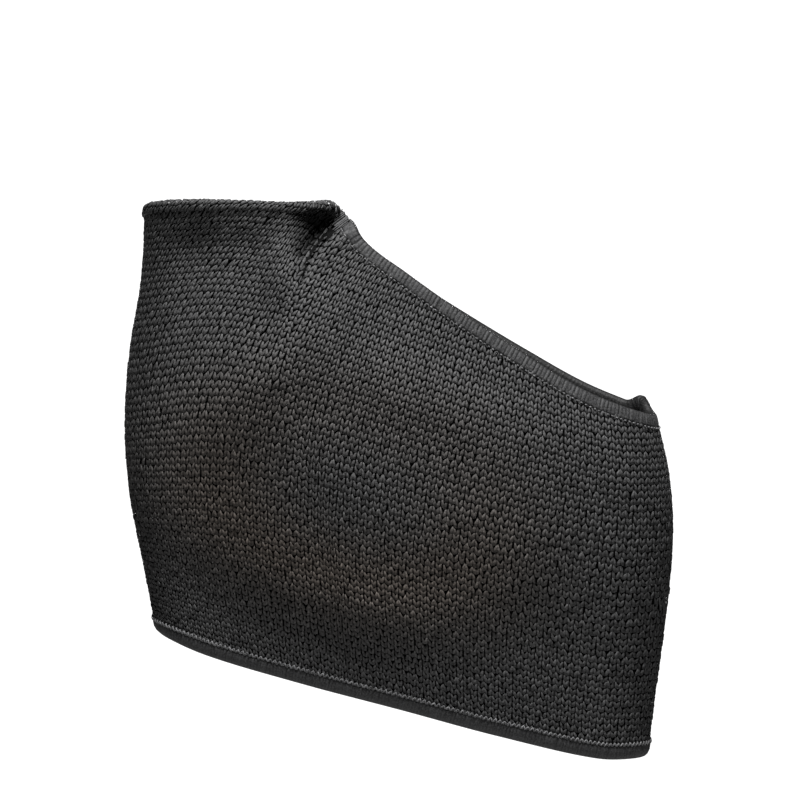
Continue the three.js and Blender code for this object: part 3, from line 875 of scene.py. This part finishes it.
def stitch_line(name, first, last, at_t, line):
    length = along_edge(first, last, at_t, 2)[1]
    count = 2 * round(length / line["pitch"] / 2)
    angles, runs = spaced(first, last, at_t)
    thetas = along_edge(first, last, at_t, 2 * count + 1)[0][1::2]
    run = np.interp(thetas, angles, runs)
    hand = np.where(np.arange(count) % 2, 1, -1) * np.radians(line["turn"])
    hand = hand + rng.normal(0, SEWN["wander"], count)
    half = 0.5 * line["long"] * rng.uniform(*SEWN["length"], count)
    sides = np.linspace(0, 2 * np.pi, SPINDLE_SIDES + 1)[:-1]
    points = []
    for along, thick, sink in zip(SPINDLE_ALONG, SPINDLE_THICK, SPINDLE_SINK):
        for angle in [0.0] if thick == 0 else sides:
            wide = line["thick"] * thick * np.cos(angle)
            off = line["off"] + sink + line["thick"] * thick * np.sin(angle)
            ahead = along * half * np.cos(hand) - wide * np.sin(hand)
            inward = HEM * line["in"] + along * half * np.sin(hand) + wide * np.cos(hand)
            there = np.interp(run + ahead, runs, angles)
            points.append(on_edge(there, at_t, inward[None, :], off)[0])
    per_stitch = len(points)
    faces = spindle_faces(per_stitch)
    if at_t < 0.5:
        faces = [f[::-1] for f in faces]
    all_faces = [[v + per_stitch * k for v in f] for k in range(count) for f in faces]
    piece = new_piece(name, np.stack(points, axis=1).reshape(-1, 3), all_faces)
    shade = np.clip(rng.normal(SEWN["shade"], SEWN["spread"], count), *SEWN["shades"])
    paint(piece, THREAD * shade.repeat(per_stitch)[:, None])
    print(name, "stitches:", count, "faces:", len(all_faces))
    return piece


topstitch = stitch_line("toe_opening_topstitch", hem_first, hem_last, 1.0, TOPSTITCH)
zigzag = stitch_line("rear_zigzag", 0.0, 2 * np.pi, 0.0, ZIGZAG)

# %% [markdown]
# The tack that pinches the sleeve is a bar tack: a few turns of thread, side by side, round both layers of
# cloth. A single block with a ribbed bump would look the same from afar. Up close the turns differ, so
# each is a thin tube along a path that climbs the sole side, goes over the edge and comes down on the
# instep side.

# %% Bar tack
BAR_TACK = {"turns": 9, "from": -0.006, "to": 0.012, "long": 2.3, "off": 0.5, "over": 0.4, "thick": 0.17}
TACK_PATH = {"points": 4, "ends": 0.15, "length": (0.8, 1.1)}
TACK_RIDGE = {"at": np.array([0.2, 0.5, 0.8]), "rise": np.array([0.8, 1.0, 0.8])}
TACK_SHADE = {"middle": 1.3, "spread": 0.25, "limits": (0.8, 2)}
TUBE_SIDES = 5


def tube(path, thick):
    """Points of a closed tube along a path that lies nearly square to X, and its faces."""
    ahead = unit(np.gradient(path, axis=0))
    side = np.array([1.0, 0.0, 0.0])
    up = unit(np.cross(ahead, side))
    turn = np.linspace(0, 2 * np.pi, TUBE_SIDES, endpoint=False)[None, :, None]
    points = path[:, None, :] + thick * (np.cos(turn) * side + np.sin(turn) * up[:, None, :])
    ids = np.arange(len(path) * TUBE_SIDES).reshape(-1, TUBE_SIDES)
    faces = grid_faces(ids, True).tolist() + [ids[0][::-1].tolist(), ids[-1].tolist()]
    return points.reshape(-1, 3), faces


def bar_tack():
    points, faces = [], []
    raised = np.full(TACK_PATH["points"], BAR_TACK["off"])
    for place in np.linspace(BAR_TACK["from"], BAR_TACK["to"], BAR_TACK["turns"]):
        theta = np.full(TACK_PATH["points"], theta_at(np.array(TACK_AT + place)))
        long = BAR_TACK["long"] * rng.uniform(*TACK_PATH["length"])
        t = 1 - long * np.linspace(1, TACK_PATH["ends"], TACK_PATH["points"]) / TACK_LENGTH
        climb = off_face(theta, t, raised)
        fall = off_face(2 * np.pi - theta, t, raised)[::-1]
        ridge = lerp(climb[-1], fall[0], TACK_RIDGE["at"][:, None])
        ridge[:, 2] += BAR_TACK["over"] * TACK_RIDGE["rise"]
        wrap, wrap_faces = tube(np.concatenate([climb, ridge, fall]), BAR_TACK["thick"])
        faces += [[v + len(wrap) * len(points) for v in f] for f in wrap_faces]
        points.append(wrap)
    piece = new_piece("bar_tack", np.concatenate(points), faces)
    shade = rng.normal(TACK_SHADE["middle"], TACK_SHADE["spread"], len(points))
    shade = np.clip(shade, *TACK_SHADE["limits"]).repeat(len(points[0]))
    paint(piece, THREAD * shade[:, None])
    print("bar tack turns:", len(points), "faces:", len(faces))
    return piece


tack = bar_tack()

# %% [markdown]
# The cushion is a lens of soft gel against the inside of the knit, thick in the middle and thin at its edge.
# A sphere pressed flat would be close, but it wouldn't follow the cloth. It is hidden from outside and
# shows through the openings, so it is built as a polar grid that follows the inner face.

# %% Places on the sole side
SEARCH = {"rounds": 60, "step": 0.5}


def place_on_sole(x, z):
    """theta and t of places on the sole side, found in rounds that settle."""
    share = np.full_like(x, 0.5)
    for _ in range(SEARCH["rounds"]):
        t = np.clip((z - read(REAR_EDGE, "z", share)) / column_length(share), 0, 1)
        big, little = read(SECTIONS, "big", t), read(SECTIONS, "little", t)
        wanted = (x + lean(share, (1 - t) * TACK_LENGTH) - big) / (little - big)
        share = lerp(share, np.clip(wanted, 0, 1), SEARCH["step"])
    return theta_at(share), t


pad_theta, pad_t = place_on_sole(np.array([PAD["x"]]), np.array([PAD["z"]]))
print("theta and t of the cushion's middle:", round(float(pad_theta[0]), 2), round(float(pad_t[0]), 2))

# %% Gel cushion
GAP = 0.3
GEL = {"thick": 4.2, "edge": 1.0, "fills": 0.86, "power": 3, "first_ring": 0.02, "rings": 14, "spokes": 72}


def egg(value):
    """A cosine or sine bent to the cushion's outline."""
    return np.sign(value) * np.abs(value) ** (2 / PAD["power"])


def gel_cushion():
    turn = np.linspace(0, 2 * np.pi, GEL["spokes"], endpoint=False)[None, :]
    size = GEL["fills"] * np.linspace(GEL["first_ring"], 1, GEL["rings"])[:, None]
    along = size * PAD["half"] * egg(np.cos(turn))
    up = size * np.where(np.sin(turn) > 0, PAD["toes"], PAD["heel"]) * egg(np.sin(turn))
    c, s = math.cos(PAD["slant"]), math.sin(PAD["slant"])
    theta, t = place_on_sole(PAD["x"] + along * c - up * s, PAD["z"] + along * s + up * c)
    thinning = np.broadcast_to((size / GEL["fills"]) ** GEL["power"], theta.shape)
    thick = lerp(GEL["thick"], GEL["edge"], thinning)
    under = off_face(theta, t, np.full(theta.shape, -WALL - GAP))
    over = off_face(theta, t, -WALL - GAP - thick)
    ids = np.arange(theta.size).reshape(theta.shape)
    over_ids = ids + theta.size
    faces = grid_faces(ids, True)[:, ::-1].tolist()
    faces += grid_faces(over_ids, True).tolist()
    faces += grid_faces(np.stack([ids[-1], over_ids[-1]]), True)[:, ::-1].tolist()
    faces.append(ids[0].tolist())
    faces.append(over_ids[0][::-1].tolist())
    return np.concatenate([under.reshape(-1, 3), over.reshape(-1, 3)]), faces


gel = new_piece("gel_cushion", *gel_cushion())
print("gel faces:", len(gel.data.polygons))

# %% [markdown]
# Four finishes are needed: dull black yarn with a little sheen from its loose fibres, the yarn of the
# ground painted nearly black as shade in the gaps, the denser thread of the hems, and the soft amber of the
# gel. Each could have a node tree of its own. They differ only in numbers, though, so one function builds
# them all: a fine noise drives the shade, the roughness and a small bump together, as fibres do.

# %% Materials
NOISE = {"low": 0.3, "high": 0.7, "detail": 3}


def spread(nodes, join, noise, low, high):
    """The noise spread over a range of values."""
    node = nodes.new("ShaderNodeMapRange")
    node.inputs["From Min"].default_value = NOISE["low"]
    node.inputs["From Max"].default_value = NOISE["high"]
    node.inputs["To Min"].default_value = low
    node.inputs["To Max"].default_value = high
    join(noise.outputs["Fac"], node.inputs["Value"])
    return node.outputs["Result"]


def finish(name, colour, rough, grain, tone, bump, attribute=None, shine=0.2):
    """A dull finish whose shade, roughness and bump follow one noise of the given grain in millimetres."""
    material = bpy.data.materials.new(name)
    material.use_nodes = True
    nodes, join = material.node_tree.nodes, material.node_tree.links.new
    shader = nodes["Principled BSDF"]
    shader.inputs["Specular IOR Level"].default_value = shine
    place = nodes.new("ShaderNodeTexCoord")
    noise = nodes.new("ShaderNodeTexNoise")
    noise.inputs["Scale"].default_value = 1 / (grain * MM)
    noise.inputs["Detail"].default_value = NOISE["detail"]
    join(place.outputs["Object"], noise.inputs["Vector"])
    join(spread(nodes, join, noise, *rough), shader.inputs["Roughness"])
    mix = nodes.new("ShaderNodeMix")
    mix.data_type = "RGBA"
    mix.blend_type = "MULTIPLY"
    mix.inputs["Factor"].default_value = 1
    mix.inputs["A"].default_value = (*colour, 1)
    if attribute:
        source = nodes.new("ShaderNodeAttribute")
        source.attribute_name = attribute
        join(source.outputs["Color"], mix.inputs["A"])
    join(spread(nodes, join, noise, *tone), mix.inputs["B"])
    join(mix.outputs["Result"], shader.inputs["Base Color"])
    lift = nodes.new("ShaderNodeBump")
    lift.inputs["Strength"].default_value = 1
    lift.inputs["Distance"].default_value = bump * MM
    join(noise.outputs["Fac"], lift.inputs["Height"])
    join(lift.outputs["Normal"], shader.inputs["Normal"])
    return material


# Painted shade: the ground yarn is far darker than the yarn, so the gaps between stitches look shaded.
NEAR_BLACK = (0.005, 0.005, 0.005)
AMBER = (0.62, 0.38, 0.2)
FIBRE_ROUGH = (0.5, 0.75)
yarn = finish("black_yarn", YARN, FIBRE_ROUGH, grain=0.34, tone=(0.42, 1.58), bump=0.1, attribute="yarn")
shadow_yarn = finish("ground_yarn", NEAR_BLACK, (0.8, 1.0), grain=0.3, tone=(0.4, 1.6), bump=0.1, shine=0)
thread = finish(
    "overlock_thread", THREAD, FIBRE_ROUGH, grain=0.3, tone=(0.4, 1.6), bump=0.08, attribute="yarn"
)
amber = finish("gel", AMBER, (0.2, 0.45), grain=2.5, tone=(0.85, 1.1), bump=0.1, shine=0.5)
print("materials:", [m.name for m in (yarn, shadow_yarn, thread, amber)])

# %% [markdown]
# Each piece now gets its finish and is tied to the frame: it rides on the part's one body, as a child of
# an empty named for that body. The four solids of the frame are hidden.

# %% Dress the frame
dressed = [
    (ground, shadow_yarn, "knit"),
    (sole_big, yarn, "knit"),
    (sole_little, yarn, "knit"),
    (instep_big, yarn, "knit"),
    (instep_little, yarn, "knit"),
    (purl, yarn, "knit"),
    (toe_hem, thread, "hem"),
    (rear_hem, thread, "hem"),
    (topstitch, thread, "hem"),
    (zigzag, thread, "hem"),
    (tack, thread, "hem"),
    (gel, amber, "gel"),
]
for piece, material, slot in dressed:
    piece.data.materials.append(material)
    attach(piece, "root")
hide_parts("knit_sleeve")
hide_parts("toe_opening_hem")
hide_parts("rear_hem")
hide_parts("gel_pad")
print("pieces dressed:", len(dressed))

# %% [markdown]
# The world is a white studio to the camera, but gives only a little light of its own, so the sides of the
# black knit stay dark as they turn away from the lamps. A white wall behind the sleeve would do the same
# for one view, but it would stand in the way of the others. A pale floor lies well below.

# %% Studio and floor
ROOM_LIGHT = 0.07
BACKDROP_LIGHT = 1.2
WHITE = (1, 1, 1, 1)
FLOOR_Z = -0.6
FLOOR_HALF = 1
scene = bpy.context.scene
world = bpy.data.worlds.new("studio")
world.use_nodes = True
scene.world = world
world_nodes, join = world.node_tree.nodes, world.node_tree.links.new
room = world_nodes["Background"]
room.inputs["Color"].default_value = WHITE
room.inputs["Strength"].default_value = ROOM_LIGHT
seen = world_nodes.new("ShaderNodeBackground")
seen.inputs["Color"].default_value = WHITE
seen.inputs["Strength"].default_value = BACKDROP_LIGHT
choose = world_nodes.new("ShaderNodeMixShader")
ray = world_nodes.new("ShaderNodeLightPath")
join(ray.outputs["Is Camera Ray"], choose.inputs["Fac"])
join(room.outputs["Background"], choose.inputs[1])
join(seen.outputs["Background"], choose.inputs[2])
join(choose.outputs["Shader"], world_nodes["World Output"].inputs["Surface"])

pale = finish("pale_floor", (0.8, 0.8, 0.8), (0.85, 0.95), grain=4, tone=(0.98, 1.02), bump=0.02)
corner_signs = [(-1, -1), (1, -1), (1, 1), (-1, 1)]
floor_mesh = bpy.data.meshes.new("floor")
floor_corners = [(FLOOR_HALF * x, FLOOR_HALF * y, FLOOR_Z) for x, y in corner_signs]
floor_mesh.from_pydata(floor_corners, [], [(0, 1, 2, 3)])
floor_mesh.materials.append(pale)
floor = bpy.data.objects.new("floor", floor_mesh)
scene.collection.objects.link(floor)
print("floor at, in m:", FLOOR_Z)

# %% [markdown]
# A large soft lamp hangs high in front, so each stitch has a bright top and a dark underside. A weaker one
# stands low behind and draws the inside out of the dark in the other views. Sun lamps would give harder
# shadows than a studio has. The camera looks straight at the sole side through a long lens, because a
# short one would stretch what is near.

# %% Lamps and camera
LAMP_SIZE = 0.4
SENSOR = 36
CAMERA_AWAY = 2.5
CAMERA_Z = 0.01825
FRAME_WIDE = 0.146


def lamp(name, place, toward, power):
    data = bpy.data.lights.new(name, "AREA")
    data.shape = "DISK"
    data.size = LAMP_SIZE
    data.energy = power
    light = bpy.data.objects.new(name, data)
    scene.collection.objects.link(light)
    light.location = place
    light.rotation_euler = (Vector(place) - Vector(toward)).to_track_quat("Z", "Y").to_euler()


lamp("key", (0.0, -0.32, 0.92), toward=(0, 0, 0.01), power=27)
lamp("back", (-0.05, 0.97, 0.1), toward=(0, 0, 0), power=9)
camera_data = bpy.data.cameras.new("camera")
camera_data.sensor_width = SENSOR
camera_data.lens = SENSOR * CAMERA_AWAY / FRAME_WIDE
camera = bpy.data.objects.new("camera", camera_data)
scene.collection.objects.link(camera)
camera.location = (0, -CAMERA_AWAY, CAMERA_Z)
camera.rotation_euler = (math.pi / 2, 0, 0)
scene.camera = camera
scene.view_settings.view_transform = "Standard"
print("lens in mm:", round(camera_data.lens))
